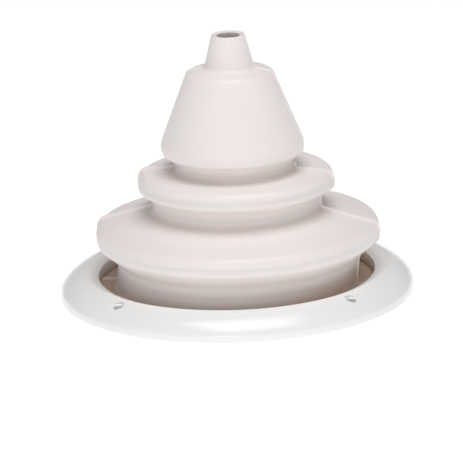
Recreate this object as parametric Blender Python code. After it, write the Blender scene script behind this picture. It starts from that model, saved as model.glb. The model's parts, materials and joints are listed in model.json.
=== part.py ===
"""Cable boot for the motor well of a small boat.

A soft PVC bellows passes the steering, control and fuel lines up through the deck.
A stiff moulded ring clamps its flange to the deck with four screws. The boot is one
moulding on the real object. Here it is cut across its three necks, so that the folds
can squash and lean as the real bellows does.

Run it in Blender 4.5: blender --background --python part.py
"""

import math

import bmesh
import bpy
from mathutils import Matrix

MM = 0.001

# ---- driving dimensions, in millimetres ----

SEGMENTS = 40  # sides of every turned piece
ARC_STEP = 28.0  # degrees of a rounded corner per facet
SEAM = 0.3  # gap between neighbouring solids

# mounting ring
RING_RADIUS = 66.7
RING_BAND = 14.4  # width of the band, from its opening to its outer edge
RING_HEIGHT = 9.4
RING_CROWN_INSET = 4.0  # from the opening to the crown of the band
RING_RIM_HEIGHT = 2.5  # upright outer edge at the deck
RING_LIP_DROP = 1.8  # how far the inner lip falls below the crown
RING_DOME_POWER = 1.5  # 2 is a quarter ellipse, and less is flatter
RING_WALL = 2.3

# screws that hold the ring down; they pass through the flange too
SCREW_COUNT = 4
SCREW_INSET = 6.1  # from the ring's outer edge in to the screws
SCREW_HOLE_RADIUS = 1.8
SCREW_SINK_RADIUS = 2.3
SCREW_BOSS_WALL = 2.2
SCREW_START_ANGLE = 45.0
HOLE_SIDES = 16

# boot
BOOT_WALL = 1.8
FLANGE_THICKNESS = 3.0
FLANGE_PLAY = 0.8  # between the flange's edge and the ring's outer wall
NECK_STUB = 0.5  # upright stub that a fold or the flange keeps of each neck

LOWER_NECK_INSET = 6.9  # from the ring's opening in to the lower neck
LOWER_NECK_LENGTH = 11.3
LARGE_FOLD_REACH = 8.3  # how far the fold stands out from the lower neck
LARGE_FOLD_UNDERSIDE = 6.4  # rise of each sloping face
LARGE_FOLD_WALL = 5.9
LARGE_FOLD_LEAN = 0.6  # how far the fold's wall leans out
LARGE_FOLD_TOP = 6.1
LARGE_FOLD_ROUND = 3.0

MIDDLE_NECK_RADIUS = 31.5
MIDDLE_NECK_LENGTH = 5.7
SMALL_FOLD_REACH = 4.9
SMALL_FOLD_UNDERSIDE = 2.8
SMALL_FOLD_WALL = 5.5
SMALL_FOLD_LEAN = -0.6  # its wall leans in
SMALL_FOLD_TOP = 0.9
SMALL_FOLD_ROUND = 2.6

UPPER_NECK_RADIUS = 22.6
UPPER_NECK_LENGTH = 5.4
NOSE_REACH = 4.3
NOSE_UNDERSIDE = 1.4
NOSE_BAND = 2.9  # height of the band between the underside and the cone
NOSE_LEAN = 0.6  # how far the band leans out
NOSE_LENGTH = 28.0  # height of the cone
NOSE_TAPER = 10.9  # how much narrower the cone is at its shoulder
NOSE_ROUND = 1.7
SHOULDER_RISE = 1.3
SPOUT_BASE_RADIUS = 9.3
SPOUT_LENGTH = 12.6
SPOUT_TAPER = 3.25

# ---- sizes that follow from them ----

RING_OPENING = RING_RADIUS - RING_BAND
RING_CAVITY = RING_RADIUS - RING_WALL
SCREW_CIRCLE = RING_RADIUS - SCREW_INSET
FLANGE_RADIUS = RING_CAVITY - FLANGE_PLAY
RING_SEAT = FLANGE_THICKNESS + SEAM  # the ring's inner wall and bosses press here
LOWER_NECK_RADIUS = RING_OPENING - LOWER_NECK_INSET

LARGE_FOLD_Z = FLANGE_THICKNESS + LOWER_NECK_LENGTH
LARGE_WALL_Z = LARGE_FOLD_Z + LARGE_FOLD_UNDERSIDE
LARGE_CREST_Z = LARGE_WALL_Z + LARGE_FOLD_WALL
MIDDLE_NECK_Z = LARGE_CREST_Z + LARGE_FOLD_TOP
SMALL_FOLD_Z = MIDDLE_NECK_Z + MIDDLE_NECK_LENGTH
SMALL_WALL_Z = SMALL_FOLD_Z + SMALL_FOLD_UNDERSIDE
SMALL_CREST_Z = SMALL_WALL_Z + SMALL_FOLD_WALL
UPPER_NECK_Z = SMALL_CREST_Z + SMALL_FOLD_TOP
NOSE_Z = UPPER_NECK_Z + UPPER_NECK_LENGTH
NOSE_FOOT_Z = NOSE_Z + NOSE_UNDERSIDE
NOSE_EDGE_Z = NOSE_FOOT_Z + NOSE_BAND
SHOULDER_Z = NOSE_EDGE_Z + NOSE_LENGTH
SPOUT_Z = SHOULDER_Z + SHOULDER_RISE
TIP_Z = SPOUT_Z + SPOUT_LENGTH

# the boot bends at the middle of each neck
LOWER_BEND_Z = (FLANGE_THICKNESS + LARGE_FOLD_Z) / 2
MIDDLE_BEND_Z = (MIDDLE_NECK_Z + SMALL_FOLD_Z) / 2
UPPER_BEND_Z = (UPPER_NECK_Z + NOSE_Z) / 2

SOFT_PVC = ((0.80, 0.76, 0.73, 1.0), 0.5)
GLOSSY_PLASTIC = ((0.88, 0.87, 0.86, 1.0), 0.25)


# ---- outlines, as points (radius, height) ----


def rounded(corners):
    """The outline through corners (radius, height, rounding), with each corner turned to an arc."""
    points = [corners[0][:2]]
    for before, here, after in zip(corners, corners[1:], corners[2:]):
        r, z, radius = here
        into = math.atan2(z - before[1], r - before[0])
        out = math.atan2(after[1] - z, after[0] - r)
        turn = math.remainder(out - into, math.tau)
        if radius <= 0.0:
            points.append((r, z))
            continue
        room = 0.45 * min(math.dist(here[:2], before[:2]), math.dist(here[:2], after[:2]))
        half = math.tan(abs(turn) / 2)
        radius = min(radius, room / half)
        side = math.copysign(1.0, turn)
        start = (r - radius * half * math.cos(into), z - radius * half * math.sin(into))
        centre = (
            start[0] - side * radius * math.sin(into),
            start[1] + side * radius * math.cos(into),
        )
        steps = max(1, math.ceil(abs(turn) / math.radians(ARC_STEP)))
        for step in range(steps + 1):
            angle = into + turn * step / steps - side * math.pi / 2
            points.append((centre[0] + radius * math.cos(angle), centre[1] + radius * math.sin(angle)))
    points.append(corners[-1][:2])
    return points


def inner_side(corners, wall):
    """Corners of the wall's inner side, a constant wall to the left of the way the outline runs."""
    lines = []
    for a, b in zip(corners, corners[1:]):
        angle = math.atan2(b[1] - a[1], b[0] - a[0])
        lines.append((a[0] - wall * math.sin(angle), a[1] + wall * math.cos(angle), angle))
    inside = [along(lines[0], corners[0][1])]
    for first, second, corner in zip(lines, lines[1:], corners[1:]):
        turn = math.remainder(second[2] - first[2], math.tau)
        radius = max(0.0, corner[2] - math.copysign(wall, turn)) if corner[2] else 0.0
        inside.append((*crossing(first, second), radius))
    inside.append(along(lines[-1], corners[-1][1]))
    return inside


def along(line, height):
    """The point of a line at a height, as a corner without rounding."""
    r, z, angle = line
    return (r + (height - z) / math.tan(angle), height, 0.0)


def crossing(first, second):
    """Where two lines (radius, height, angle) cross."""
    r1, z1, a1 = first
    r2, z2, a2 = second
    reach = ((r2 - r1) * math.sin(a2) - (z2 - z1) * math.cos(a2)) / math.sin(a2 - a1)
    return (r1 + reach * math.cos(a1), z1 + reach * math.sin(a1))


def shell(corners, wall):
    """Closed outline of a wall: up its outer side and down its inner side."""
    return rounded(corners) + rounded(inner_side(corners, wall))[::-1]


# ---- solids ----


def turned(name, outline, datum, finish):
    """A solid of revolution about the upright axis, with its origin on the axis at datum."""
    mesh = bpy.data.meshes.new(name)
    shape = bmesh.new()
    rim = [shape.verts.new((r * MM, 0.0, (z - datum) * MM)) for r, z in outline]
    edges = [shape.edges.new((a, b)) for a, b in zip(rim, rim[1:] + rim[:1])]
    bmesh.ops.spin(
        shape,
        geom=rim + edges,
        cent=(0.0, 0.0, 0.0),
        axis=(0.0, 0.0, 1.0),
        angle=math.tau,
        steps=SEGMENTS,
        use_merge=True,
    )
    bmesh.ops.remove_doubles(shape, verts=shape.verts, dist=1e-6)
    bmesh.ops.recalc_face_normals(shape, faces=shape.faces)
    shape.to_mesh(mesh)
    shape.free()
    mesh.shade_smooth()
    mesh.set_sharp_from_angle(angle=math.radians(40))
    mesh.materials.append(material(name, *finish))
    piece = bpy.data.objects.new(name, mesh)
    piece.location.z = datum * MM
    bpy.context.scene.collection.objects.link(piece)
    return piece


def material(name, colour, roughness):
    """A plain surface of one colour."""
    finish = bpy.data.materials.new(name)
    finish.use_nodes = True
    shader = finish.node_tree.nodes["Principled BSDF"]
    shader.inputs["Base Color"].default_value = colour
    shader.inputs["Roughness"].default_value = roughness
    shader.inputs["Metallic"].default_value = 0.0
    return finish


def screw_posts(name, levels):
    """Upright round posts, one at each screw, through levels of (radius, height)."""
    mesh = bpy.data.meshes.new(name)
    shape = bmesh.new()
    for number in range(SCREW_COUNT):
        turn = math.radians(SCREW_START_ANGLE) + math.tau * number / SCREW_COUNT
        place = Matrix.Rotation(turn, 4, "Z") @ Matrix.Translation((SCREW_CIRCLE * MM, 0.0, 0.0))
        rings = []
        for radius, height in levels:
            at = place @ Matrix.Translation((0.0, 0.0, height * MM))
            made = bmesh.ops.create_circle(
                shape, cap_ends=False, segments=HOLE_SIDES, radius=radius * MM, matrix=at
            )
            rings.append(made["verts"])
        for low, high in zip(rings, rings[1:]):
            for side in range(HOLE_SIDES):
                after = (side + 1) % HOLE_SIDES
                shape.faces.new((low[side], low[after], high[after], high[side]))
        shape.faces.new(rings[0][::-1])
        shape.faces.new(rings[-1])
    bmesh.ops.recalc_face_normals(shape, faces=shape.faces)
    shape.to_mesh(mesh)
    shape.free()
    tool = bpy.data.objects.new(name, mesh)
    tool.hide_render = True
    tool.display_type = "WIRE"
    bpy.context.scene.collection.objects.link(tool)
    return tool


def combine(piece, tool, operation):
    """Join a tool to a piece, or cut it out, with an exact boolean."""
    modifier = piece.modifiers.new(tool.name, "BOOLEAN")
    modifier.operation = operation
    modifier.solver = "EXACT"
    modifier.object = tool


# ---- pieces ----


def dome_height(radius):
    """Height of the band's top at a radius between its crown and its outer edge."""
    crown = RING_OPENING + RING_CROWN_INSET
    share = (radius - crown) / (RING_RADIUS - crown)
    fall = (1 - share**RING_DOME_POWER) ** (1 / RING_DOME_POWER)
    return RING_RIM_HEIGHT + (RING_HEIGHT - RING_RIM_HEIGHT) * fall


def band_top(inset, steps=7):
    """Points over the band, from its outer edge to its lip, set in from the surface."""
    crown = RING_OPENING + RING_CROWN_INSET
    points = []
    for step in range(steps + 1):
        angle = math.pi / 2 * step / steps
        out = math.cos(angle) ** (2 / RING_DOME_POWER)
        up = math.sin(angle) ** (2 / RING_DOME_POWER)
        r = crown + (RING_RADIUS - inset - crown) * out
        rise = (RING_HEIGHT - inset - RING_RIM_HEIGHT) * up
        points.append((r, RING_RIM_HEIGHT + rise))
    points.append((RING_OPENING + inset, RING_HEIGHT - inset - RING_LIP_DROP))
    return points


def mounting_ring():
    """Stiff ring: a hollow domed band, with a boss round each countersunk screw hole."""
    outside = [(RING_RADIUS, 0.0), *band_top(0.0), (RING_OPENING, RING_SEAT)]
    inside = [(RING_CAVITY, 0.0), *band_top(RING_WALL), (RING_OPENING + RING_WALL, RING_SEAT)]
    ring = turned("mounting_ring", outside + inside[::-1], 0.0, GLOSSY_PLASTIC)
    boss = SCREW_HOLE_RADIUS + SCREW_BOSS_WALL
    surface = dome_height(SCREW_CIRCLE)
    skin = RING_WALL / 2
    # the bosses end inside the dome's skin, wherever they stand under it
    core_outline = [*band_top(skin), (RING_OPENING + skin, RING_RIM_HEIGHT)]
    core = turned("ring_core", core_outline, 0.0, GLOSSY_PLASTIC)
    core.hide_render = True
    core.display_type = "WIRE"
    bosses = screw_posts("ring_bosses", [(boss, RING_SEAT), (boss, RING_HEIGHT)])
    combine(bosses, core, "INTERSECT")
    # the sink's cone is carried on above the surface, so that it cuts clean through the dome
    sink = SCREW_SINK_RADIUS - SCREW_HOLE_RADIUS
    levels = [
        (SCREW_HOLE_RADIUS, -1.0),
        (SCREW_HOLE_RADIUS, surface - sink),
        (SCREW_SINK_RADIUS, surface),
        (SCREW_SINK_RADIUS, RING_HEIGHT + 1.0),
    ]
    combine(ring, bosses, "UNION")
    combine(ring, screw_posts("ring_holes", levels), "DIFFERENCE")
    return ring


def boot_flange():
    """Flat flange of the boot, clamped under the ring, with the root of the lower neck."""
    top = FLANGE_THICKNESS + NECK_STUB
    outline = [
        (FLANGE_RADIUS, 0.0),
        (FLANGE_RADIUS, FLANGE_THICKNESS),
        (LOWER_NECK_RADIUS, FLANGE_THICKNESS),
        (LOWER_NECK_RADIUS, top),
        (LOWER_NECK_RADIUS - BOOT_WALL, top),
        (LOWER_NECK_RADIUS - BOOT_WALL, 0.0),
    ]
    flange = turned("boot_flange", outline, 0.0, SOFT_PVC)
    levels = [(SCREW_HOLE_RADIUS, -1.0), (SCREW_HOLE_RADIUS, top + 1.0)]
    combine(flange, screw_posts("flange_holes", levels), "DIFFERENCE")
    return flange


def neck(name, radius, low, high):
    """Plain tube of the boot between two stubs, with a seam to each."""
    middle = (low + high) / 2
    low, high = low + NECK_STUB + SEAM, high - NECK_STUB - SEAM
    outline = [(radius, low), (radius, high), (radius - BOOT_WALL, high), (radius - BOOT_WALL, low)]
    return turned(name, outline, middle, SOFT_PVC)


def large_fold():
    """Lower, wider fold: a sloping underside, a short wall and a sloping top."""
    root = LOWER_NECK_RADIUS + LARGE_FOLD_REACH
    corners = [
        (LOWER_NECK_RADIUS, LARGE_FOLD_Z - NECK_STUB, 0.0),
        (LOWER_NECK_RADIUS, LARGE_FOLD_Z, 0.0),
        (root - LARGE_FOLD_LEAN, LARGE_WALL_Z, 1.5),
        (root, LARGE_CREST_Z, LARGE_FOLD_ROUND),
        (MIDDLE_NECK_RADIUS, MIDDLE_NECK_Z, 0.0),
        (MIDDLE_NECK_RADIUS, MIDDLE_NECK_Z + NECK_STUB, 0.0),
    ]
    return turned("boot_large_fold", shell(corners, BOOT_WALL), LOWER_BEND_Z, SOFT_PVC)


def small_fold():
    """Upper, narrower fold, built as the large one is."""
    root = MIDDLE_NECK_RADIUS + SMALL_FOLD_REACH
    corners = [
        (MIDDLE_NECK_RADIUS, SMALL_FOLD_Z - NECK_STUB, 0.0),
        (MIDDLE_NECK_RADIUS, SMALL_FOLD_Z, 0.0),
        (root - SMALL_FOLD_LEAN, SMALL_WALL_Z, 1.2),
        (root, SMALL_CREST_Z, SMALL_FOLD_ROUND),
        (UPPER_NECK_RADIUS, UPPER_NECK_Z, 0.0),
        (UPPER_NECK_RADIUS, UPPER_NECK_Z + NECK_STUB, 0.0),
    ]
    return turned("boot_small_fold", shell(corners, BOOT_WALL), MIDDLE_BEND_Z, SOFT_PVC)


def nose():
    """Cone with a rounded shoulder, and the open spout that is cut to suit the cables."""
    edge = UPPER_NECK_RADIUS + NOSE_REACH
    corners = [
        (UPPER_NECK_RADIUS, NOSE_Z - NECK_STUB, 0.0),
        (UPPER_NECK_RADIUS, NOSE_Z, 0.0),
        (edge - NOSE_LEAN, NOSE_FOOT_Z, 0.5),
        (edge, NOSE_EDGE_Z, NOSE_ROUND),
        (edge - NOSE_TAPER, SHOULDER_Z, NOSE_ROUND),
        (SPOUT_BASE_RADIUS, SPOUT_Z, 1.2),
        (SPOUT_BASE_RADIUS - SPOUT_TAPER, TIP_Z, 0.0),
    ]
    return turned("boot_nose", shell(corners, BOOT_WALL), UPPER_BEND_Z, SOFT_PVC)


def main():
    for item in list(bpy.data.objects):
        bpy.data.objects.remove(item, do_unlink=True)
    deck = bpy.data.objects.new("deck_datum", None)
    bpy.context.scene.collection.objects.link(deck)
    ring = mounting_ring()
    boot = [
        boot_flange(),
        neck("boot_lower_neck", LOWER_NECK_RADIUS, FLANGE_THICKNESS, LARGE_FOLD_Z),
        large_fold(),
        neck("boot_middle_neck", MIDDLE_NECK_RADIUS, MIDDLE_NECK_Z, SMALL_FOLD_Z),
        small_fold(),
        neck("boot_upper_neck", UPPER_NECK_RADIUS, UPPER_NECK_Z, NOSE_Z),
        nose(),
    ]
    # ring and flange stay on the deck; each section above hangs on the one below it
    bpy.context.view_layer.update()
    for piece, below in [(ring, deck), *zip(boot, [deck, *boot])]:
        piece.parent = below
        piece.matrix_parent_inverse = below.matrix_world.inverted()


if __name__ == "__main__":
    main()
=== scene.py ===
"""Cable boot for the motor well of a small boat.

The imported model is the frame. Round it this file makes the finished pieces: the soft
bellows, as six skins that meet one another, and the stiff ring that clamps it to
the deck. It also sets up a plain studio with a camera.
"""

import json
import math

import bpy
from mathutils import Matrix, Vector


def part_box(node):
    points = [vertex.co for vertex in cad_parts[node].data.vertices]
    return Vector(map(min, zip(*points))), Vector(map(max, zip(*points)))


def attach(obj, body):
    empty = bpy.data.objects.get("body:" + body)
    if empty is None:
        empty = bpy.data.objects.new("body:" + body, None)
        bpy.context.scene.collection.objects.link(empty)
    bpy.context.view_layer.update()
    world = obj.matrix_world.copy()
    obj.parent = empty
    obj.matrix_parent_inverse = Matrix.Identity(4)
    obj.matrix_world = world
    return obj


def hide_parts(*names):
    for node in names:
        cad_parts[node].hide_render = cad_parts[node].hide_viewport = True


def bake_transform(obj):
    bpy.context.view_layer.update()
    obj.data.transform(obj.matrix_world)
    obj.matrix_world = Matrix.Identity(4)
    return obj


bl_info = {
    "name": "Motor Well Cable Boot",
    "version": (1, 0, 0),
    "blender": (4, 5, 0),
    "location": "View3D > Sidebar > Cable Boot",
    "description": "Builds a bellows cable boot, its mounting ring and a plain studio",
    "category": "Object",
}

MM = 0.001
CLOSE = 0.01 * MM  # points this near are the same point
RIM_NEAR = 1.2 * MM  # a rim's two edges lie this near its height
SHARP_EDGE = math.radians(38.0)
ROUND_STEPS = 9  # facets of a rounded corner
TURN_STEPS = 144  # facets round the axis of the boot and the ring
HOLE_STEPS = 48  # facets round a screw hole
DOME_STEPS = 24  # facets across the ring's dome
SEAM = 0.3 * MM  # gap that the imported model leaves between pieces
STUB = 0.5 * MM  # upright stub that each packed section keeps of its neck
WALL_SPLIT = 0.4  # how far up a fold's wall its two skins meet, as a part of its height
SET_BACK = 0.8  # the part of the folds' sideways set that the cone doesn't share
FLASH_FLAT = 0.5  # half width of the parting line's flat crest, in half widths of the line
FLASH_NEAR = 0.6  # points this near the parting plane are on the crest, in half widths of the line
FLASH_FOOT = 2.2  # half width of the parting line's foot, in half widths of the line
NOSE_FLASH = 0.3  # height of the parting line on the cone, as a part of its height elsewhere
FINE_WELD = 0.002 * MM  # the cuts in the ring leave points this near each other
WELD = 0.02 * MM  # the cuts in the flange leave points this near each other
CAMERA_AIM = (-1.41 * MM, 0.0, 22.7 * MM)
LIGHTS = (  # name, place and size in metres, power in watts
    ("key_light", (-0.2, -1.7, 0.26), 0.4, 4.3),
    ("top_light", (0.08, -0.24, 1.3), 0.9, 10.6),
)

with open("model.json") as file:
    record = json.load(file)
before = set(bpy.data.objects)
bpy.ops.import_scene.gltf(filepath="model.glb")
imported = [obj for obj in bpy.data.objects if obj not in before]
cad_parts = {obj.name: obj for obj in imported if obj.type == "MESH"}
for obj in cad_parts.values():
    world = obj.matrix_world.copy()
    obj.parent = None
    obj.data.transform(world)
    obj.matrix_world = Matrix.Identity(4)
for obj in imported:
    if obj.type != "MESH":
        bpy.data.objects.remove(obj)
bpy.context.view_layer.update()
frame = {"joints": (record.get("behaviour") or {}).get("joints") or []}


# ---- places and sizes read from the frame, in metres ----


def base(node):
    """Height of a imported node's lowest point."""
    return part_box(node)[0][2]


def top(node):
    """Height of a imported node's highest point."""
    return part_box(node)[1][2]


def reach(node):
    """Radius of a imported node, which is turned about the upright axis."""
    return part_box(node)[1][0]


def bend_height(joint):
    """Height of a hinge's axis."""
    return next(j["pos_m"][2] for j in frame["joints"] if j["name"] == joint)


RING_RADIUS = reach("mounting_ring")
RING_TOP = top("mounting_ring")

FLANGE_RADIUS = reach("boot_flange")
FLANGE_TOP = top("boot_flange") - STUB

LOWER_NECK = reach("boot_lower_neck")
LOWER_BEND = bend_height("lean_fore_aft")
LARGE_BASE = base("boot_large_fold") + STUB
LARGE_CREST = reach("boot_large_fold")

MIDDLE_NECK = reach("boot_middle_neck")
MIDDLE_NECK_BASE = top("boot_large_fold") - STUB
MIDDLE_BEND = bend_height("lean_sideways")
SMALL_BASE = base("boot_small_fold") + STUB
SMALL_CREST = reach("boot_small_fold")

UPPER_NECK = reach("boot_upper_neck")
UPPER_NECK_BASE = top("boot_small_fold") - STUB
UPPER_BEND = bend_height("nose_lean_sideways")
NOSE_BASE = base("boot_nose") + STUB
NOSE_CREST = reach("boot_nose")
TIP = top("boot_nose")

LOWER_CUT = LOWER_BEND + 1.85 * MM  # where the lower neck's two skins meet


# ---- what a user may change ----


def length(name, millimetres, description):
    """A length that a user can set, given in millimetres."""
    return bpy.props.FloatProperty(
        name=name, description=description, default=millimetres * MM, min=0.0, unit="LENGTH", precision=5
    )


def colour(name, red, green, blue, description):
    """A colour that a user can set, in linear light."""
    return bpy.props.FloatVectorProperty(
        name=name,
        description=description,
        default=(red, green, blue),
        size=3,
        min=0.0,
        max=1.0,
        subtype="COLOR",
    )


def share(name, default, description):
    """A number from 0 to 1 that a user can set."""
    return bpy.props.FloatProperty(
        name=name, description=description, default=default, min=0.0, max=1.0, subtype="FACTOR"
    )


def turn(name, degrees, description):
    """An angle that a user can set, given in degrees."""
    return bpy.props.FloatProperty(
        name=name, description=description, default=math.radians(degrees), subtype="ANGLE"
    )


class BootSettings(bpy.types.PropertyGroup):
    """Sizes and finish of the soft boot"""

    wall: length("Wall", 1.8, "Thickness of the soft wall")
    neck_fillet: length("Neck fillet", 1.5, "How far each neck's root is rounded")
    edge_round: length("Edge rounding", 0.8, "Rounding of the lower edges of the folds")
    wall_lean: length("Wall lean", 0.6, "How far the folds' walls are out of plumb")

    large_foot: length("Large fold foot", 6.4, "Height of the foot of the large fold's wall")
    large_height: length("Large fold height", 12.3, "Height of the large fold's crest")
    large_round: length("Large fold rounding", 2.8, "How far the large fold's crest is rounded")
    small_foot: length("Small fold foot", 2.8, "Height of the foot of the small fold's wall")
    small_height: length("Small fold height", 8.3, "Height of the small fold's crest")
    small_round: length("Small fold rounding", 2.4, "How far the small fold's crest is rounded")

    nose_foot: length("Cone foot", 1.4, "Height of the foot of the band round the cone")
    nose_edge: length("Cone edge", 4.3, "Height of the cone's lower edge")
    nose_round: length("Cone rounding", 1.5, "How far the cone's edge and shoulder are rounded")
    shoulder: length("Shoulder", 16.0, "Radius of the cone's shoulder")
    shoulder_rise: length("Shoulder rise", 1.3, "From the shoulder to the spout's root")
    spout_root: length("Spout root", 9.3, "Radius of the spout at its root")
    spout_length: length("Spout length", 12.6, "Length of the spout")
    spout_tip: length("Spout tip", 6.05, "Radius of the spout's cut end")

    flash_height: length("Flash height", 0.9, "How far the mould's parting line stands out")
    flash_width: length("Flash width", 0.9, "Width of the parting line")
    flash_turn: turn("Flash angle", 9.0, "Turn of the parting line about the upright axis")
    sway: length("Sway", 0.3, "How far the soft wall strays from a true turned shape")
    settle: length("Settle", 0.9, "How far the folds have settled to one side")

    colour: colour("Colour", 0.885, 0.828, 0.81, "Colour of the soft PVC")
    # painted shade: colour that the creases are darkened to, where shade falls
    shade: colour("Shade", 0.78, 0.68, 0.63, "Colour of the soft PVC in its creases")
    # painted shade: brown colour for the flange where it lies in deep shade inside the ring
    hollow_shade: colour("Hollow_shade", 0.56, 0.385, 0.27, "Colour of the flange, down inside the ring")
    # painted shade: a browner colour for the side of the lower neck away from the key light
    side_shade: colour("Side_shade", 0.76, 0.57, 0.40, "Colour of the stain on one side of the lower neck")
    roughness: share("Roughness", 0.46, "Roughness of the soft PVC")


class RingSettings(bpy.types.PropertyGroup):
    """Sizes and finish of the mounting ring"""

    band: length("Band", 14.4, "Width from the opening to the outer edge")
    crown_inset: length("Crown inset", 4.0, "From the opening to the crown")
    rim_height: length("Rim height", 2.5, "Upright outer edge at the deck")
    lip_drop: length("Lip drop", 1.8, "How far the inner lip falls below the crown")
    dome_power: bpy.props.FloatProperty(
        name="Dome power", description="2 is a quarter ellipse, and less is flatter", default=1.5, min=1.0
    )
    wall: length("Wall", 2.3, "Thickness of the band")
    hole_radius: length("Hole radius", 1.8, "Radius of a screw hole")
    sink_radius: length("Sink radius", 2.3, "Radius of a countersink's mouth")
    boss_wall: length("Boss wall", 2.2, "Wall round each screw hole")
    screw_inset: length("Screw inset", 6.1, "From the outer edge in to the screw holes")
    holes: bpy.props.IntProperty(name="Holes", description="Number of screw holes", default=4, min=1)
    first_hole: turn("First hole", 45.0, "Turn of the first screw hole")
    colour: colour("Colour", 0.90, 0.893, 0.885, "Colour of the hard plastic")
    # painted shade: brown colour for the opening's wall low down, where it lies in shade
    hollow_shade: colour("Hollow_shade", 0.56, 0.48, 0.41, "Colour of the opening's wall, low down")
    roughness: share("Roughness", 0.24, "Roughness of the hard plastic")


class StageSettings(bpy.types.PropertyGroup):
    """Studio round the object"""

    distance: bpy.props.FloatProperty(
        name="Distance", description="From the object to the camera", default=1.334, unit="LENGTH"
    )
    azimuth: turn("Azimuth", 1.6, "Turn of the camera about the object, from its front")
    elevation: turn("Elevation", 15.3, "Height of the camera above the horizon")
    roll: turn("Roll", 2.2, "Turn of the picture, counter-clockwise")
    lens: bpy.props.FloatProperty(
        name="Lens", description="Focal length", default=276.0, min=1.0, subtype="DISTANCE_CAMERA"
    )
    floor: colour("Floor", 0.90, 0.90, 0.90, "Colour of the floor")
    ambient: bpy.props.FloatProperty(
        name="Ambient", description="Brightness of the light all round", default=0.27, min=0.0
    )
    floor_glow: bpy.props.FloatProperty(
        name="Floor glow", description="Light that the floor gives off by itself", default=0.5, min=0.0
    )


# ---- modelling by hand ----


def select(obj, wanted):
    """In object mode, selects the vertices whose place passes the test wanted."""
    for parts in (obj.data.polygons, obj.data.edges):
        for part in parts:
            part.select = False
    for vertex in obj.data.vertices:
        vertex.select = wanted(vertex.co)


def in_edit(step, **settings):
    """Runs one edit mode operator on the vertices that are selected."""
    bpy.ops.object.mode_set(mode="EDIT")
    bpy.ops.mesh.select_mode(type="VERT")
    step(**settings)
    bpy.ops.object.mode_set(mode="OBJECT")


def on_all(step, **settings):
    """Runs one edit mode operator on the whole of the active piece."""
    in_edit(bpy.ops.mesh.select_all, action="SELECT")
    in_edit(step, **settings)


def draw_outline(name, corners, closed=False):
    """A line through corners (radius, height, rounding), drawn by extruding one point on and on."""
    places = [Vector((r, 0.0, z)) for r, z, _ in corners]
    bpy.ops.object.select_all(action="DESELECT")
    bpy.ops.mesh.primitive_circle_add(vertices=3, radius=MM)
    obj = bpy.context.object
    obj.name = obj.data.name = name
    bpy.ops.object.mode_set(mode="EDIT")
    bpy.ops.mesh.select_mode(type="VERT")
    bpy.ops.mesh.select_all(action="SELECT")
    bpy.ops.mesh.merge(type="CENTER")
    bpy.ops.transform.translate(value=places[0])
    for here, after in zip(places, places[1:]):
        bpy.ops.mesh.extrude_region_move(TRANSFORM_OT_translate={"value": after - here})
    bpy.ops.object.mode_set(mode="OBJECT")
    if closed:
        ends = (places[0], places[-1])
        select(obj, lambda at: any((at - end).length < CLOSE for end in ends))
        in_edit(bpy.ops.mesh.edge_face_add)
    for place, (_, _, rounding) in zip(places, corners):
        if rounding > 0.0:
            select(obj, lambda at, place=place: (at - place).length < CLOSE)
            in_edit(
                bpy.ops.mesh.bevel,
                offset_type="OFFSET",
                offset=rounding,
                segments=ROUND_STEPS,
                profile=0.5,
                affect="VERTICES",
            )
    return obj


def spin_round(obj, steps, start=0.0):
    """Turns the active outline once about the upright axis, from the angle start."""
    obj.data.transform(Matrix.Rotation(start, 4, "Z"))
    on_all(
        bpy.ops.mesh.spin,
        steps=steps,
        angle=math.tau,
        center=(0.0, 0.0, 0.0),
        axis=(0.0, 0.0, 1.0),
        use_auto_merge=True,
    )
    on_all(bpy.ops.mesh.remove_doubles, threshold=CLOSE / 10)
    on_all(bpy.ops.mesh.normals_make_consistent, inside=False)


def score_along(across, distances):
    """Cuts an edge line into the active piece at each distance from a plane through the axis."""
    for distance in distances:
        on_all(bpy.ops.mesh.bisect, plane_co=across * distance, plane_no=across)


def apply_modifier(obj, kind, **settings):
    """Adds a modifier with settings, and applies it."""
    bpy.context.view_layer.objects.active = obj
    modifier = obj.modifiers.new(kind.title(), kind)
    for key, value in settings.items():
        setattr(modifier, key, value)
    bpy.ops.object.modifier_apply(modifier=modifier.name)


def close_rims(obj, heights):
    """Joins the inner and outer edge of a wall where it ends, at each height."""
    for height in heights:
        bpy.ops.object.mode_set(mode="EDIT")
        bpy.ops.mesh.select_mode(type="EDGE")
        bpy.ops.mesh.select_all(action="DESELECT")
        bpy.ops.mesh.select_non_manifold(
            extend=False, use_wire=False, use_boundary=True, use_multi_face=False,
            use_non_contiguous=False, use_verts=False,
        )
        bpy.ops.object.mode_set(mode="OBJECT")
        points = obj.data.vertices
        for edge in obj.data.edges:
            if edge.select and abs(points[edge.vertices[0]].co.z - height) > RIM_NEAR:
                edge.select = False
        for point in points:
            point.select = False
        for face in obj.data.polygons:
            face.select = False
        bpy.ops.object.mode_set(mode="EDIT")
        bpy.ops.mesh.bridge_edge_loops()
        bpy.ops.object.mode_set(mode="OBJECT")


def smooth(obj):
    """Shades a mesh smooth, apart from its real edges."""
    bpy.ops.object.select_all(action="DESELECT")
    obj.select_set(True)
    bpy.context.view_layer.objects.active = obj
    bpy.ops.object.shade_smooth_by_angle(angle=SHARP_EDGE)


# ---- the soft boot ----


def rise(value, low, high):
    """0 below low and 1 above high, with a smooth rise between."""
    part = min(1.0, max(0.0, (value - low) / (high - low)))
    return part * part * (3 - 2 * part)


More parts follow.
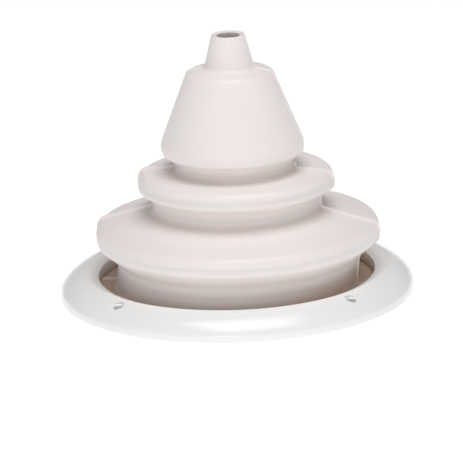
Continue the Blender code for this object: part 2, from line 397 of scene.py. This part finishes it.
def loosen(obj):
    """Gives a turned skin the slight sway and sideways set of a soft moulding."""
    boot = bpy.context.scene.cable_boot
    group = obj.vertex_groups.new(name="loose")
    for point in obj.data.vertices:
        group.add([point.index], rise(point.co.z, LOWER_CUT, LARGE_BASE), "REPLACE")
    apply_modifier(
        obj, "DISPLACE", texture=sway_texture(), strength=boot.sway, mid_level=0.5, vertex_group=group.name
    )
    obj.vertex_groups.clear()
    for point in obj.data.vertices:
        up = rise(point.co.z, FLANGE_TOP, LARGE_BASE)
        back = rise(point.co.z, UPPER_NECK_BASE, NOSE_BASE + boot.nose_edge)
        point.co.x += boot.settle * (up - SET_BACK * back)


def sway_texture():
    """Slow, soft noise that the boot's wall strays by."""
    texture = bpy.data.textures.get("boot_sway") or bpy.data.textures.new("boot_sway", "CLOUDS")
    texture.noise_scale = 30.0 * MM
    texture.noise_depth = 1
    return texture


def flash_points(obj, outside):
    """The points of a turned skin that lie on the crest of the parting line."""
    across = parting_normal()
    near = FLASH_NEAR * bpy.context.scene.cable_boot.flash_width / 2
    return {p.index for p in obj.data.vertices if abs(p.co.dot(across)) < near and outside(p.co)}


def raise_flash(obj, points, part=1.0):
    """Lifts the thin parting line that the two halves of the mould leave, to a part of its height."""
    height = bpy.context.scene.cable_boot.flash_height
    select(obj, lambda at: False)
    for index in points:
        obj.data.vertices[index].select = True
    in_edit(bpy.ops.transform.shrink_fatten, value=part * height)


def parting_normal():
    """Direction square to the mould's parting plane."""
    angle = bpy.context.scene.cable_boot.flash_turn
    return Vector((math.sin(angle), math.cos(angle), 0.0))


def parting_marks():
    """Distances from the parting plane of the lines that bound the flash and its feet."""
    half = bpy.context.scene.cable_boot.flash_width / 2
    marks = (FLASH_FLAT * half, half, FLASH_FOOT * half)
    return (*(-mark for mark in reversed(marks)), *marks)


def fold_skin(name, corners, flash_part=1.0):
    """One stretch of the bellows: an outline turned round, given its wall and its parting line."""
    boot = bpy.context.scene.cable_boot
    obj = draw_outline(name, corners)
    spin_round(obj, TURN_STEPS, -boot.flash_turn)
    score_along(parting_normal(), parting_marks())
    flash = flash_points(obj, lambda at: True)
    loosen(obj)
    apply_modifier(obj, "SOLIDIFY", thickness=boot.wall, offset=-1.0, use_even_offset=True, use_rim=False)
    raise_flash(obj, flash, flash_part)
    close_rims(obj, (corners[0][1], corners[-1][1]))
    smooth(obj)
    obj.data.materials.append(soft_pvc())
    return obj


def belongs(obj, slot, *nodes):
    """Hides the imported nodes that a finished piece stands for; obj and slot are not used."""
    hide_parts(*nodes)


def cross(obj, low, high):
    """Bakes a piece's place into its mesh; low and high are not used."""
    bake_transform(obj)


def along(start, end, part):
    """The point a part of the way from start to end."""
    return tuple(a + (b - a) * part for a, b in zip(start, end))


def large_wall():
    """Foot and crest of the large fold's wall, before they are rounded: (radius, height)."""
    boot = bpy.context.scene.cable_boot
    foot = (LARGE_CREST - boot.wall_lean / 2, LARGE_BASE + boot.large_foot)
    return foot, (LARGE_CREST + boot.wall_lean / 2, LARGE_BASE + boot.large_height)


def small_wall():
    """Foot and crest of the small fold's wall, which leans in: (radius, height)."""
    boot = bpy.context.scene.cable_boot
    foot = (SMALL_CREST + 0.1 * MM, SMALL_BASE + boot.small_foot)
    return foot, (SMALL_CREST - boot.wall_lean, SMALL_BASE + boot.small_height)


def flange_skin():
    """The flat flange under the ring, and the lower half of the lower neck."""
    boot = bpy.context.scene.cable_boot
    ring = bpy.context.scene.cable_ring
    inner = LOWER_NECK - boot.wall
    corners = [
        (inner, LOWER_CUT, 0.0),
        (inner, 0.0, 0.8 * MM),
        (FLANGE_RADIUS, 0.0, 0.3 * MM),
        (FLANGE_RADIUS, FLANGE_TOP, 0.5 * MM),
        (LOWER_NECK, FLANGE_TOP, boot.neck_fillet),
        (LOWER_NECK, LOWER_CUT, 0.0),
    ]
    obj = draw_outline("boot_flange_skin", corners)
    spin_round(obj, TURN_STEPS, -boot.flash_turn)
    score_along(parting_normal(), parting_marks())
    edge = 0.2 * MM

    def outside(at):
        radius = math.hypot(at.x, at.y)
        return LOWER_NECK - boot.wall / 2 < radius < FLANGE_RADIUS - MM and at.z > FLANGE_TOP - edge

    flash = flash_points(obj, outside)
    loosen(obj)
    raise_flash(obj, flash)
    close_rims(obj, (LOWER_CUT,))
    levels = [(ring.hole_radius, -MM), (ring.hole_radius, RING_TOP)]
    for tool in screw_tools("flange_hole", levels):
        carve(obj, tool, "DIFFERENCE")
    on_all(bpy.ops.mesh.remove_doubles, threshold=WELD)
    smooth(obj)
    obj.data.materials.append(soft_pvc())
    return obj


def large_fold_underside():
    """The upper half of the lower neck and the underside of the large fold."""
    boot = bpy.context.scene.cable_boot
    return fold_skin(
        "boot_large_fold_underside",
        [
            (LOWER_NECK, LOWER_CUT, 0.0),
            (LOWER_NECK, LARGE_BASE, boot.neck_fillet),
            (*large_wall()[0], boot.edge_round),
            (*along(*large_wall(), WALL_SPLIT), 0.0),
        ],
    )


def large_fold_top():
    """The crest and sloping top of the large fold, and the lower half of the middle neck."""
    boot = bpy.context.scene.cable_boot
    return fold_skin(
        "boot_large_fold_top",
        [
            (*along(*large_wall(), WALL_SPLIT), 0.0),
            (*large_wall()[1], boot.large_round),
            (MIDDLE_NECK, MIDDLE_NECK_BASE, boot.neck_fillet),
            (MIDDLE_NECK, MIDDLE_BEND, 0.0),
        ],
    )


def small_fold_underside():
    """The upper half of the middle neck and the underside of the small fold."""
    boot = bpy.context.scene.cable_boot
    return fold_skin(
        "boot_small_fold_underside",
        [
            (MIDDLE_NECK, MIDDLE_BEND, 0.0),
            (MIDDLE_NECK, SMALL_BASE, boot.neck_fillet),
            (*small_wall()[0], boot.edge_round),
            (*along(*small_wall(), WALL_SPLIT), 0.0),
        ],
    )


def small_fold_top():
    """The crest and nearly flat top of the small fold, and the lower half of the upper neck."""
    boot = bpy.context.scene.cable_boot
    return fold_skin(
        "boot_small_fold_top",
        [
            (*along(*small_wall(), WALL_SPLIT), 0.0),
            (*small_wall()[1], boot.small_round),
            (UPPER_NECK, UPPER_NECK_BASE, boot.neck_fillet),
            (UPPER_NECK, UPPER_BEND, 0.0),
        ],
    )


def nose_skin():
    """The upper half of the upper neck, the cone, its shoulder and the open spout."""
    boot = bpy.context.scene.cable_boot
    root = TIP - boot.spout_length
    return fold_skin(
        "boot_nose_skin",
        [
            (UPPER_NECK, UPPER_BEND, 0.0),
            (UPPER_NECK, NOSE_BASE, 0.5 * boot.neck_fillet),
            (NOSE_CREST - boot.wall_lean / 2, NOSE_BASE + boot.nose_foot, 0.5 * MM),
            (NOSE_CREST + boot.wall_lean / 2, NOSE_BASE + boot.nose_edge, boot.nose_round),
            (boot.shoulder, root - boot.shoulder_rise, boot.nose_round),
            (boot.spout_root, root, 1.4 * MM),
            (boot.spout_tip, TIP, 0.0),
        ],
        flash_part=NOSE_FLASH,
    )


# ---- the mounting ring ----


def screw_tools(name, levels):
    """Upright round tools, one at each screw, through levels of (radius, height)."""
    ring = bpy.context.scene.cable_ring
    circle = RING_RADIUS - ring.screw_inset
    tools = []
    for number in range(ring.holes):
        turned = ring.first_hole + math.tau * number / ring.holes
        corners = [(0.0, levels[0][1], 0.0), *[(r, z, 0.0) for r, z in levels], (0.0, levels[-1][1], 0.0)]
        tool = draw_outline(f"{name}_{number + 1}", corners)
        spin_round(tool, HOLE_STEPS)
        tool.data.transform(Matrix.Translation((circle * math.cos(turned), circle * math.sin(turned), 0.0)))
        tools.append(tool)
    return tools


def carve(obj, tool, operation):
    """Joins a tool to a piece or cuts it out, and removes the tool."""
    apply_modifier(obj, "BOOLEAN", operation=operation, solver="EXACT", object=tool)
    bpy.data.objects.remove(tool, do_unlink=True)


def dome(inset):
    """Corners over the band, set in from its surface, from the outer rim to the lip."""
    ring = bpy.context.scene.cable_ring
    opening = RING_RADIUS - ring.band
    crown = opening + ring.crown_inset
    lift = RING_TOP - inset - ring.rim_height
    corners = []
    for step in range(DOME_STEPS + 1):
        angle = math.pi / 2 * step / DOME_STEPS
        out = math.cos(angle) ** (2 / ring.dome_power)
        up = math.sin(angle) ** (2 / ring.dome_power)
        corners.append((crown + (RING_RADIUS - inset - crown) * out, ring.rim_height + lift * up, 0.0))
    corners.append((opening + inset, RING_TOP - ring.lip_drop - inset, 0.0))
    return corners


def dome_height(radius):
    """Height of the band's top at a radius between its crown and its outer edge."""
    ring = bpy.context.scene.cable_ring
    crown = RING_RADIUS - ring.band + ring.crown_inset
    part = (radius - crown) / (RING_RADIUS - crown)
    fall = (1 - part**ring.dome_power) ** (1 / ring.dome_power)
    return ring.rim_height + (RING_TOP - ring.rim_height) * fall


def mounting_ring():
    """Stiff domed band, hollow underneath, with a boss round each countersunk screw hole."""
    ring = bpy.context.scene.cable_ring
    opening = RING_RADIUS - ring.band
    seat = base("mounting_ring") + FLANGE_TOP + SEAM
    corners = [
        (RING_RADIUS, 0.0, 0.2 * MM),
        *dome(0.0),
        (opening, seat, 0.2 * MM),
        (opening + ring.wall, seat, 0.2 * MM),
        *reversed(dome(ring.wall)),
        (RING_RADIUS - ring.wall, 0.0, 0.2 * MM),
    ]
    obj = draw_outline("mounting_ring_moulding", corners, closed=True)
    spin_round(obj, TURN_STEPS)
    core_corners = [*dome(ring.wall / 2), (opening + ring.wall / 2, ring.rim_height, 0.0)]
    boss = ring.hole_radius + ring.boss_wall
    for tool in screw_tools("boss", [(boss, seat), (boss, RING_TOP)]):
        core = draw_outline("boss_limit", core_corners, closed=True)
        spin_round(core, TURN_STEPS)
        carve(tool, core, "INTERSECT")
        carve(obj, tool, "UNION")
    surface = dome_height(RING_RADIUS - ring.screw_inset)
    sink = ring.sink_radius - ring.hole_radius
    levels = [
        (ring.hole_radius, -MM),
        (ring.hole_radius, surface - sink),
        (ring.sink_radius, surface),
        (ring.sink_radius, RING_TOP + MM),
    ]
    for tool in screw_tools("hole", levels):
        carve(obj, tool, "DIFFERENCE")
    on_all(bpy.ops.mesh.remove_doubles, threshold=FINE_WELD)
    smooth(obj)
    obj.data.materials.append(hard_plastic())
    return obj


# ---- finishes ----


class Value:
    """A number made by shader nodes, which takes part in Python expressions."""

    def __init__(self, finish, socket):
        self.finish = finish
        self.socket = socket

    def __add__(self, other):
        return self.finish.math("ADD", self, other)

    def __sub__(self, other):
        return self.finish.math("SUBTRACT", self, other)

    def __rsub__(self, other):
        return self.finish.math("SUBTRACT", other, self)

    def __mul__(self, other):
        return self.finish.math("MULTIPLY", self, other)

    def __pow__(self, other):
        return self.finish.math("POWER", self, other)

    __radd__ = __add__
    __rmul__ = __mul__


class Finish:
    """A material that is being made, and the nodes that it is made of."""

    def __init__(self, name):
        self.material = bpy.data.materials.new(name)
        self.material.use_nodes = True
        self.tree = self.material.node_tree
        self.shader = self.tree.nodes["Principled BSDF"]
        place = self.node("ShaderNodeTexCoord").outputs["Object"]
        self.place = place
        parts = self.node("ShaderNodeSeparateXYZ", {}, {"Vector": place}).outputs
        self.x, self.y, self.z = (Value(self, parts[axis]) for axis in "XYZ")

    def node(self, kind, settings=None, sockets=None):
        """One node: its settings are set first, then its sockets take a value or a link."""
        made = self.tree.nodes.new(kind)
        for key, value in (settings or {}).items():
            setattr(made, key, value)
        for key, value in (sockets or {}).items():
            self.feed(made.inputs[key], value)
        return made

    def feed(self, socket, value):
        """Gives a socket a value, or a link if it is one."""
        value = value.socket if isinstance(value, Value) else value
        if isinstance(value, bpy.types.NodeSocket):
            self.tree.links.new(value, socket)
        else:
            socket.default_value = value

    def math(self, operation, *terms):
        """The result of an operation on one or more numbers."""
        made = self.node("ShaderNodeMath", {"operation": operation}, dict(enumerate(terms)))
        return Value(self, made.outputs[0])

    def noise(self, size, detail=2.0, roughness=0.5, stretch=(1.0, 1.0, 1.0)):
        """Noise from 0 to 1 with features of about that size in metres, stretched along the axes."""
        scale = [1 / (size * part) for part in stretch]
        scaled = self.node("ShaderNodeMapping", {}, {"Vector": self.place, "Scale": scale})
        made = self.node(
            "ShaderNodeTexNoise",
            {"noise_dimensions": "3D"},
            {"Vector": scaled.outputs[0], "Scale": 1.0, "Detail": detail, "Roughness": roughness},
        )
        return Value(self, made.outputs["Fac"])

    def step(self, value, low, high):
        """0 below low and 1 above high, with a smooth rise between."""
        made = self.node(
            "ShaderNodeMapRange",
            {"interpolation_type": "SMOOTHSTEP"},
            {"Value": value, "From Min": low, "From Max": high, "To Min": 0.0, "To Max": 1.0},
        )
        return Value(self, made.outputs[0])

    def mix(self, amount, first, second):
        """A colour between two."""
        made = self.node(
            "ShaderNodeMix",
            {"data_type": "RGBA", "clamp_factor": True},
            {0: amount, 6: first, 7: second},
        )
        return made.outputs[2]

    def bump(self, height, strength, depth, normal=None):
        """A normal that follows a height, which runs from 0 to 1 over depth in metres."""
        sockets = {"Height": height, "Strength": strength, "Distance": depth}
        if normal is not None:
            sockets["Normal"] = normal
        return self.node("ShaderNodeBump", {}, sockets).outputs[0]

    def radius(self):
        """Distance from the upright axis."""
        return (self.x * self.x + self.y * self.y) ** 0.5

    def near_circle(self, radius, height, distance):
        """1 on a level circle round the axis, falling to 0 at a distance from it."""
        out = self.radius() - radius
        up = self.z - height
        away = (out * out + up * up) ** 0.5
        return 1 - self.step(away, 0.0, distance)


def opaque(rgb, factor=1.0):
    """A colour for a socket, made lighter or darker by a factor."""
    return (*(min(1.0, part * factor) for part in rgb), 1.0)


def soft_pvc():
    """Soft moulded PVC: satin, warm off-white, with faint flow streaks and painted shade in creases.

    Brown painted shade lies on the flange inside the ring, apart from the parting line, which
    is left out of it so that it reads lit. One side of the lower neck has a browner painted shade.
    """
    known = bpy.data.materials.get("soft_pvc")
    if known:
        return known
    boot = bpy.context.scene.cable_boot
    pvc = Finish("soft_pvc")
    cloud = pvc.noise(22 * MM, detail=3.0)
    streak = pvc.noise(1.1 * MM, detail=2.0, stretch=(24.0, 24.0, 1.0))
    grain = pvc.noise(0.35 * MM, detail=1.0)
    # painted shade: near each crease the colour is darkened toward the shade colour
    creases = [
        (LOWER_NECK, FLANGE_TOP),
        (MIDDLE_NECK, MIDDLE_NECK_BASE),
        (MIDDLE_NECK, SMALL_BASE),
        (UPPER_NECK, UPPER_NECK_BASE),
        (UPPER_NECK, NOSE_BASE),
    ]
    hollow_shade = 0.0
    for radius, height in creases:
        hollow_shade = pvc.near_circle(radius, height, 5 * MM) + hollow_shade
    plain = pvc.mix(cloud, opaque(boot.colour, 1.02), opaque(boot.colour, 0.975))
    crease_shaded = pvc.mix(hollow_shade * (cloud * 0.4), plain, opaque(boot.shade))
    # painted shade: the flange top down inside the ring, which lies in deep shade, is coloured brown
    below = 1 - pvc.step(pvc.z, FLANGE_TOP + 0.5 * MM, RING_TOP - 3 * MM)
    above = pvc.step(pvc.z, 0.5 * MM, 2 * MM)
    shaded_ledge = above * below * pvc.step(pvc.radius(), LOWER_NECK + 0.2 * MM, LOWER_NECK + 1.6 * MM)
    normal = parting_normal()
    side = pvc.x * normal.x + pvc.y * normal.y
    # the raised parting line is mostly left out of the painted shade, so that it reads lit
    unshaded_ridge = 1 - pvc.step((side * side) ** 0.5, 0.4 * MM, 1.0 * MM)
    # painted shade: a browner colour low on the +x side of the boot, away from the key light
    side_shade_mask = pvc.step(pvc.x, 8 * MM, 40 * MM) * (1 - pvc.step(pvc.z, 5 * MM, 15 * MM)) * above
    side_shaded = pvc.mix(side_shade_mask * (cloud * 0.4 + 0.2), crease_shaded, opaque(boot.side_shade))
    shaded_colour = pvc.mix(shaded_ledge * (1 - unshaded_ridge * 0.9) * (cloud * 0.4 + 0.6), side_shaded, opaque(boot.hollow_shade))
    pvc.feed(pvc.shader.inputs["Base Color"], shaded_colour)
    pvc.feed(pvc.shader.inputs["Roughness"], cloud * 0.1 + streak * 0.06 + (boot.roughness - 0.08))
    fine = pvc.bump(grain, 0.25, 0.02 * MM)
    pvc.feed(pvc.shader.inputs["Normal"], pvc.bump(streak, 0.35, 0.05 * MM, fine))
    pvc.shader.inputs["Subsurface Weight"].default_value = 0.3
    pvc.shader.inputs["Subsurface Radius"].default_value = (1.0, 0.8, 0.7)
    pvc.shader.inputs["Subsurface Scale"].default_value = 2 * MM
    pvc.shader.inputs["IOR"].default_value = 1.5
    return pvc.material


def hard_plastic():
    """Hard moulded plastic: glossy and cool white, with slow flow waves and a few fine scuffs."""
    known = bpy.data.materials.get("hard_plastic")
    if known:
        return known
    ring = bpy.context.scene.cable_ring
    plastic = Finish("hard_plastic")
    cloud = plastic.noise(30 * MM, detail=3.0)
    peel = plastic.noise(2.2 * MM, detail=1.0)
    scuff = plastic.step(plastic.noise(0.5 * MM, detail=3.0, stretch=(14.0, 1.0, 1.0)), 0.66, 0.74)
    tint = plastic.mix(cloud, opaque(ring.colour, 1.01), opaque(ring.colour, 0.98))
    opening = RING_RADIUS - ring.band
    # painted shade: the opening's wall is coloured brown low down, where it lies in shade
    well = 1 - plastic.step(plastic.radius(), opening + 0.2 * MM, opening + 1.4 * MM)
    low = 1 - plastic.step(plastic.z, FLANGE_TOP + MM, RING_TOP - ring.lip_drop)
    shaded_colour = plastic.mix(well * low * 0.85, tint, opaque(ring.hollow_shade))
    plastic.feed(plastic.shader.inputs["Base Color"], shaded_colour)
    plastic.feed(plastic.shader.inputs["Roughness"], cloud * 0.08 + scuff * 0.12 + (ring.roughness - 0.04))
    wave = plastic.bump(peel, 0.3, 0.03 * MM)
    plastic.feed(plastic.shader.inputs["Normal"], plastic.bump(scuff, 0.15, 0.01 * MM, wave))
    plastic.shader.inputs["IOR"].default_value = 1.53
    return plastic.material


def pale_floor():
    """Matt, pale studio floor."""
    stage = bpy.context.scene.cable_stage
    floor = Finish("pale_floor")
    cloud = floor.noise(400 * MM, detail=2.0)
    tint = floor.mix(cloud, opaque(stage.floor), opaque(stage.floor, 0.99))
    floor.feed(floor.shader.inputs["Base Color"], tint)
    floor.shader.inputs["Roughness"].default_value = 0.9
    floor.shader.inputs["Emission Color"].default_value = opaque(stage.floor)
    floor.shader.inputs["Emission Strength"].default_value = stage.floor_glow
    return floor.material


# ---- the studio ----


def lay_floor():
    """A wide pale floor under the object."""
    bpy.ops.object.select_all(action="DESELECT")
    bpy.ops.mesh.primitive_grid_add(x_subdivisions=4, y_subdivisions=4, size=8.0)
    floor = bpy.context.object
    floor.name = "studio_floor"
    floor.data.materials.append(pale_floor())


def hang_light(name, place, size, power):
    """A square soft light, aimed at the middle of the object."""
    lamp = bpy.data.lights.new(name, "AREA")
    lamp.shape = "SQUARE"
    lamp.size = size
    lamp.energy = power
    light = bpy.data.objects.new(name, lamp)
    light.location = place
    aim = Vector((0.0, 0.0, MIDDLE_BEND)) - Vector(place)
    light.rotation_euler = aim.to_track_quat("-Z", "Y").to_euler()
    bpy.context.scene.collection.objects.link(light)


def light_all_round(strength):
    """Even white light from all round."""
    world = bpy.data.worlds.new("studio_air")
    bpy.context.scene.world = world
    world.use_nodes = True
    sky = world.node_tree.nodes["Background"]
    sky.inputs["Color"].default_value = (1.0, 1.0, 1.0, 1.0)
    sky.inputs["Strength"].default_value = strength


def place_camera():
    """Long lens, a little above the horizon, turned slightly out of level."""
    stage = bpy.context.scene.cable_stage
    middle = Vector((0.0, 0.0, 0.7 * RING_RADIUS))
    level = math.cos(stage.elevation)
    out = Vector(
        (level * math.sin(stage.azimuth), -level * math.cos(stage.azimuth), math.sin(stage.elevation))
    )
    camera = bpy.data.cameras.new("studio_camera")
    camera.lens = stage.lens
    camera.sensor_width = 36.0
    camera.clip_start = 0.01
    seat = bpy.data.objects.new("studio_camera", camera)
    seat.location = middle + out * stage.distance
    aim = Vector(CAMERA_AIM) - seat.location
    look = aim.to_track_quat("-Z", "Y").to_matrix().to_4x4()
    seat.rotation_euler = (look @ Matrix.Rotation(-stage.roll, 4, "Z")).to_euler()
    bpy.context.scene.collection.objects.link(seat)
    bpy.context.scene.camera = seat


# ---- operators ----


class CABLE_BOOT_OT_flange(bpy.types.Operator):
    """Moulds the boot's flange and the lower half of its lower neck"""

    bl_idname = "cable_boot.flange"
    bl_label = "Flange"

    def execute(self, context):
        obj = flange_skin()
        belongs(obj, "boot", "boot_flange")
        cross(obj, FLANGE_TOP, LOWER_CUT)
        return {"FINISHED"}


class CABLE_BOOT_OT_large_fold(bpy.types.Operator):
    """Moulds the large fold, with half a neck below it and half a neck above"""

    bl_idname = "cable_boot.large_fold"
    bl_label = "Large Fold"

    def execute(self, context):
        under, over = large_fold_underside(), large_fold_top()
        belongs(under, "boot", "boot_lower_neck")
        belongs(over, "boot", "boot_large_fold")
        cross(under, LOWER_CUT, large_wall()[0][1])
        cross(over, large_wall()[1][1] + MM, MIDDLE_BEND)
        return {"FINISHED"}


class CABLE_BOOT_OT_small_fold(bpy.types.Operator):
    """Moulds the small fold, with half a neck below it and half a neck above"""

    bl_idname = "cable_boot.small_fold"
    bl_label = "Small Fold"

    def execute(self, context):
        under, over = small_fold_underside(), small_fold_top()
        belongs(under, "boot", "boot_middle_neck")
        belongs(over, "boot", "boot_small_fold")
        cross(under, MIDDLE_BEND, small_wall()[0][1])
        cross(over, small_wall()[1][1], UPPER_BEND)
        return {"FINISHED"}


class CABLE_BOOT_OT_nose(bpy.types.Operator):
    """Moulds the cone and the open spout, with half a neck below them"""

    bl_idname = "cable_boot.nose"
    bl_label = "Nose"

    def execute(self, context):
        boot = context.scene.cable_boot
        obj = nose_skin()
        belongs(obj, "boot", "boot_upper_neck", "boot_nose")
        cross(obj, UPPER_BEND, NOSE_BASE + boot.nose_edge)
        return {"FINISHED"}


class CABLE_BOOT_OT_ring(bpy.types.Operator):
    """Moulds the ring that clamps the boot to the deck"""

    bl_idname = "cable_boot.ring"
    bl_label = "Mounting Ring"

    def execute(self, context):
        obj = mounting_ring()
        belongs(obj, "ring", "mounting_ring")
        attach(obj, "deck_mount")
        return {"FINISHED"}


class CABLE_BOOT_OT_stage(bpy.types.Operator):
    """Lays the floor, hangs the lights and places the camera"""

    bl_idname = "cable_boot.stage"
    bl_label = "Studio"

    def execute(self, context):
        lay_floor()
        light_all_round(context.scene.cable_stage.ambient)
        for light in LIGHTS:
            hang_light(*light)
        place_camera()
        context.scene.view_settings.view_transform = "Standard"
        return {"FINISHED"}


class CABLE_BOOT_PT_panel(bpy.types.Panel):
    """The boot's pieces and their settings"""

    bl_label = "Cable Boot"
    bl_idname = "CABLE_BOOT_PT_panel"
    bl_space_type = "VIEW_3D"
    bl_region_type = "UI"
    bl_category = "Cable Boot"

    def draw(self, context):
        for step in STEPS:
            self.layout.operator(step.bl_idname)
        for group in (context.scene.cable_boot, context.scene.cable_ring, context.scene.cable_stage):
            box = self.layout.box()
            for key in group.__annotations__:
                box.prop(group, key)


SETTINGS = {"cable_boot": BootSettings, "cable_ring": RingSettings, "cable_stage": StageSettings}
STEPS = (
    CABLE_BOOT_OT_ring,
    CABLE_BOOT_OT_flange,
    CABLE_BOOT_OT_large_fold,
    CABLE_BOOT_OT_small_fold,
    CABLE_BOOT_OT_nose,
    CABLE_BOOT_OT_stage,
)


def register():
    for group in (*SETTINGS.values(), *STEPS, CABLE_BOOT_PT_panel):
        bpy.utils.register_class(group)
    for name, group in SETTINGS.items():
        setattr(bpy.types.Scene, name, bpy.props.PointerProperty(type=group))


def unregister():
    for name in SETTINGS:
        delattr(bpy.types.Scene, name)
    for group in reversed((*SETTINGS.values(), *STEPS, CABLE_BOOT_PT_panel)):
        bpy.utils.unregister_class(group)


def main():
    register()
    for step in STEPS:
        module, name = step.bl_idname.split(".")
        getattr(getattr(bpy.ops, module), name)()


if __name__ == "__main__":
    main()
